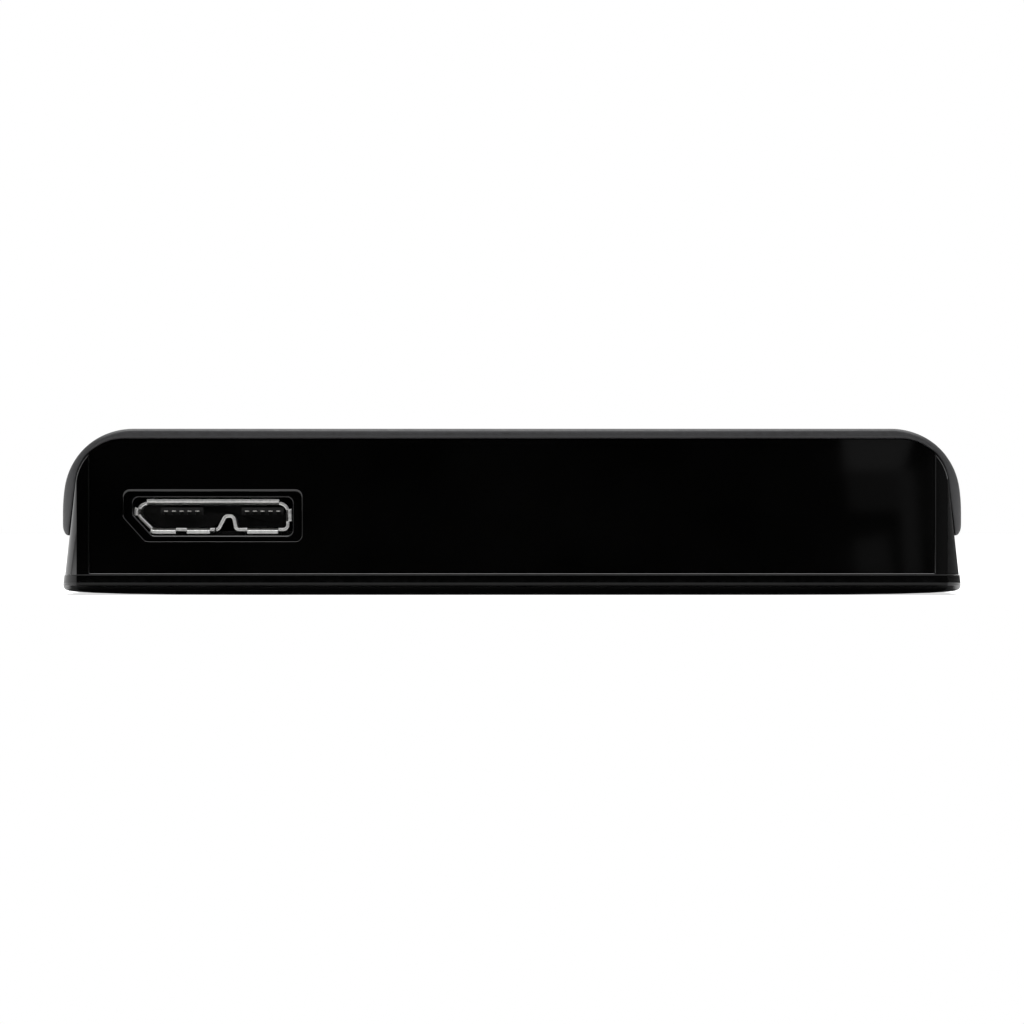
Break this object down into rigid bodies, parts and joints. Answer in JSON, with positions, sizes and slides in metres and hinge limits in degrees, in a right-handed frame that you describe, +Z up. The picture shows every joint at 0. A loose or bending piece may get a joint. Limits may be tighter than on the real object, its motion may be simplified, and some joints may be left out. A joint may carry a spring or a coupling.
{
  "type": "portable hard drive",
  "caption": "Slim pocket hard drive: matte saddle cover over a gloss black case, keyed micro data socket in one end, spinning disk and swinging arm inside.",
  "frame": {"origin": "under the middle of the case, on the surface it rests on", "axes": "+Z up through the cover, -Y out of the end with the data socket, +X to the right seen from that end"},
  "size_m": [0.075, 0.119, 0.0138],
  "materials": {
    "matte_charcoal": "fine matte grain",
    "gloss_black": "polished",
    "satin_black": "satin",
    "clear_acrylic": "polished clear",
    "soft_rubber": "matte",
    "tinned_steel": "satin plated",
    "black_nylon": "moulded",
    "plated_bronze": "satin plated",
    "solder_mask": "lacquered",
    "chip_epoxy": "matte moulded",
    "chip_ceramic": "fired",
    "led_lens": "clear domed",
    "cast_aluminium": "die cast",
    "stamped_steel": "plain stamped",
    "machined_steel": "machined",
    "copper_wire": "enamelled",
    "disk_mirror": "mirror polished",
    "nickel_plate": "satin nickel",
    "white_acetal": "moulded",
    "filter_felt": "felt",
    "amber_film": "smooth film"
  },
  "bodies": {
    "enclosure": {"activity_led": "led_lens", "air_filter": "filter_felt", "board_passives": "chip_ceramic", "bottom_cover": "satin_black", "bridge_board": "solder_mask", "bridge_chip": "chip_epoxy", "bridge_receptacle": "black_nylon", "bumper_front_left": "soft_rubber", "bumper_front_right": "soft_rubber", "bumper_rear_left": "soft_rubber", "bumper_rear_right": "soft_rubber", "case_frame": "gloss_black", "clock_crystal": "tinned_steel", "cover_gasket": "soft_rubber", "cover_screws": "machined_steel", "drive_base": "cast_aluminium", "drive_cover": "stamped_steel", "drive_plug": "black_nylon", "end_panel": "gloss_black", "firmware_chip": "chip_epoxy", "flex_circuit": "amber_film", "light_pipe": "clear_acrylic", "load_ramp": "white_acetal", "logic_board": "solder_mask", "lower_magnet": "nickel_plate", "lower_yoke": "nickel_plate", "main_chip": "chip_epoxy", "memory_chip": "chip_epoxy", "motor_chip": "chip_epoxy", "pivot_post": "machined_steel", "plug_contacts": "plated_bronze", "socket_contacts": "plated_bronze", "socket_shell": "tinned_steel", "socket_tongue": "black_nylon", "stator_coils": "copper_wire", "stator_core": "machined_steel", "top_cover": "matte_charcoal", "upper_magnet": "nickel_plate", "upper_yoke": "nickel_plate"},
    "spindle": {"spindle_hub": "machined_steel", "rotor_magnet": "nickel_plate", "platter": "disk_mirror", "platter_clamp": "machined_steel", "clamp_screw": "machined_steel"},
    "actuator": {"pivot_sleeve": "machined_steel", "actuator_arm": "cast_aluminium", "voice_coil": "copper_wire", "lower_head": "machined_steel", "upper_head": "machined_steel"}
  },
  "joints": [
    {"name": "spindle_spin", "type": "hinge", "parent": "enclosure", "child": "spindle", "pos_m": [0, 0.02098, 0], "axis": [0, 0, 1], "continuous": true},
    {"name": "actuator_swing", "type": "hinge", "parent": "enclosure", "child": "actuator", "pos_m": [0.0148, -0.01833, 0], "axis": [0, 0, -1], "range_deg": [0, 30]}
  ]
}
